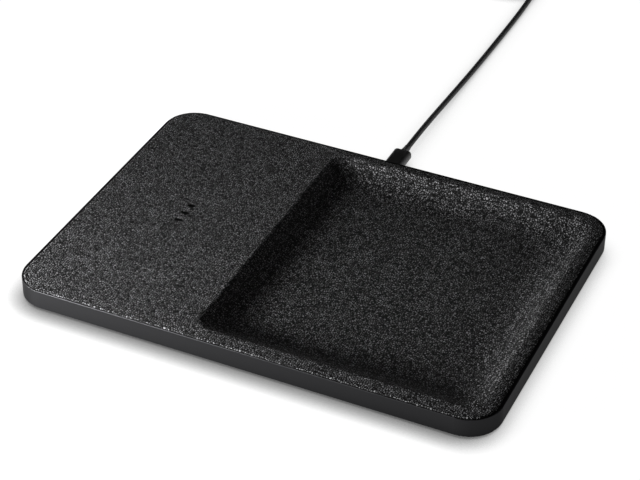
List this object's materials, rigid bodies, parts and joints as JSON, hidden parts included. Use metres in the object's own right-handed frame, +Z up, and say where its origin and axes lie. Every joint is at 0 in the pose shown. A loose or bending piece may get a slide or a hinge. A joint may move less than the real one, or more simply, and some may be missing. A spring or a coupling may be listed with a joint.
{
  "type": "wireless charging tray",
  "caption": "Leather-covered wireless charging pad with a shallow valet dish beside it, in a slim metal frame on rubber feet, with a detachable lead at the back.",
  "frame": {"origin": "middle of the tray's footprint, on the surface it stands on", "axes": "+X along the tray's length towards the dish, +Y to the back where the lead leaves, +Z up"},
  "size_m": [0.2603, 0.4774, 0.0184],
  "materials": {
    "leather": "black pebble-grained hide, semi-matt",
    "frame_metal": "dark grey satin coat",
    "moulded_plastic": "black moulded, matt",
    "foot_rubber": "dark soft silicone, matt",
    "screw_steel": "zinc plated",
    "enamelled_copper": "enamelled copper wire",
    "ferrite": "sintered, dark grey",
    "board_laminate": "green solder mask",
    "component_resin": "moulded epoxy",
    "can_aluminium": "drawn can",
    "wire_sleeve": "insulated wire",
    "shell_steel": "plated, satin",
    "contact_plastic": "glass-filled, black",
    "grip_moulding": "dark grey soft moulding, matt",
    "cord_jacket": "dark grey braided jacket",
    "strap": "black hook-and-loop tape"
  },
  "bodies": {
    "tray": {"leather_cover": "leather", "side_frame": "frame_metal", "top_panel": "moulded_plastic", "base_plate": "moulded_plastic", "coil_holder": "moulded_plastic", "rubber_feet": "foot_rubber", "base_screws": "screw_steel", "small_screws": "screw_steel", "charging_coil_front": "enamelled_copper", "charging_coil_rear": "enamelled_copper", "charging_coil_middle": "enamelled_copper", "coil_leads": "enamelled_copper", "ferrite_sheet": "ferrite", "main_board": "board_laminate", "port_board": "board_laminate", "coil_thermistor": "component_resin", "controller_chip": "component_resin", "bridge_transistors": "component_resin", "tank_capacitors": "component_resin", "power_inductor": "component_resin", "coil_terminal": "component_resin", "power_header": "component_resin", "port_header": "component_resin", "bulk_capacitor": "can_aluminium", "power_lead": "wire_sleeve", "port_shell": "shell_steel", "port_tongue": "contact_plastic"},
    "lead": {"plug_shell": "shell_steel", "plug_insert": "contact_plastic", "plug_grip": "grip_moulding", "plug_relief": "grip_moulding", "cord_lead": "cord_jacket", "cord_coil": "cord_jacket", "coil_tie": "strap", "cord_tail": "cord_jacket", "far_plug_relief": "grip_moulding", "far_plug_grip": "grip_moulding", "far_plug_shell": "shell_steel", "far_plug_insert": "contact_plastic"}
  },
  "joints": [
    {"name": "plug_pull", "type": "slide", "parent": "tray", "child": "lead", "axis": [0, 1, 0], "range_m": [0, 0.01]}
  ]
}
